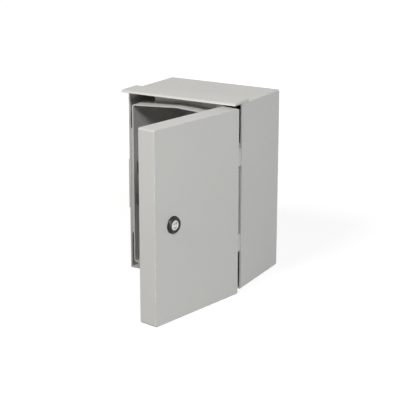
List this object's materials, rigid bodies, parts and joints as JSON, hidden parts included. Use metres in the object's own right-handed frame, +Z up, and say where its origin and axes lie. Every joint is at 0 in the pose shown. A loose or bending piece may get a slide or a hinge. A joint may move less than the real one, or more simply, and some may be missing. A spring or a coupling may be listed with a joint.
{
  "type": "wall-mounted enclosure",
  "caption": "Moulded polyester wall enclosure with a hinged tray door, foam gasket, quarter-turn lock, rain canopy and a gabled sealing rim round its opening.",
  "frame": {"origin": "On the wall plane at the back, in the middle of the wall fixing hole pattern.", "axes": "+Z up, front towards -Y with the door hinge on the +X side, +Y into the wall. The door stands open at rest as in the picture."},
  "size_m": [0.215, 0.3382, 0.304],
  "materials": {
    "polyester": "pale grey moulded polyester with a faint grain",
    "black_plastic": "black moulded nylon",
    "hinge_plastic": "grey moulded nylon",
    "foam": "dark foam rubber",
    "steel": "plain stainless steel",
    "zinc": "zinc-plated steel",
    "brass": "turned brass"
  },
  "bodies": {
    "body": {"body_shell": "polyester", "rain_canopy": "polyester", "latch_keeper": "black_plastic", "keeper_screws": "zinc", "mounting_inserts": "brass", "hinge_bracket_lower": "hinge_plastic", "hinge_bracket_upper": "hinge_plastic", "hinge_pin_lower": "steel", "hinge_pin_upper": "steel", "bracket_screws": "zinc"},
    "door": {"door_shell": "polyester", "door_gasket": "foam", "hinge_leaf_lower": "steel", "hinge_leaf_upper": "steel", "leaf_screws": "zinc", "lock_housing": "black_plastic", "lock_seal": "foam", "lock_nut": "zinc"},
    "lock": {"lock_rotor": "steel", "lock_cam": "zinc", "cam_washer": "zinc", "cam_screw": "zinc"}
  },
  "joints": [
    {"name": "door_hinge", "type": "hinge", "parent": "body", "child": "door", "pos_m": [0.0952, -0.149, -0.00255], "axis": [0, 0, 1], "range_deg": [-79.3, 40.7]},
    {"name": "lock_turn", "type": "hinge", "parent": "door", "child": "lock", "pos_m": [0.08234, -0.29999, -0.00015], "axis": [0.9826, -0.1857, 0], "range_deg": [0, 90]}
  ]
}
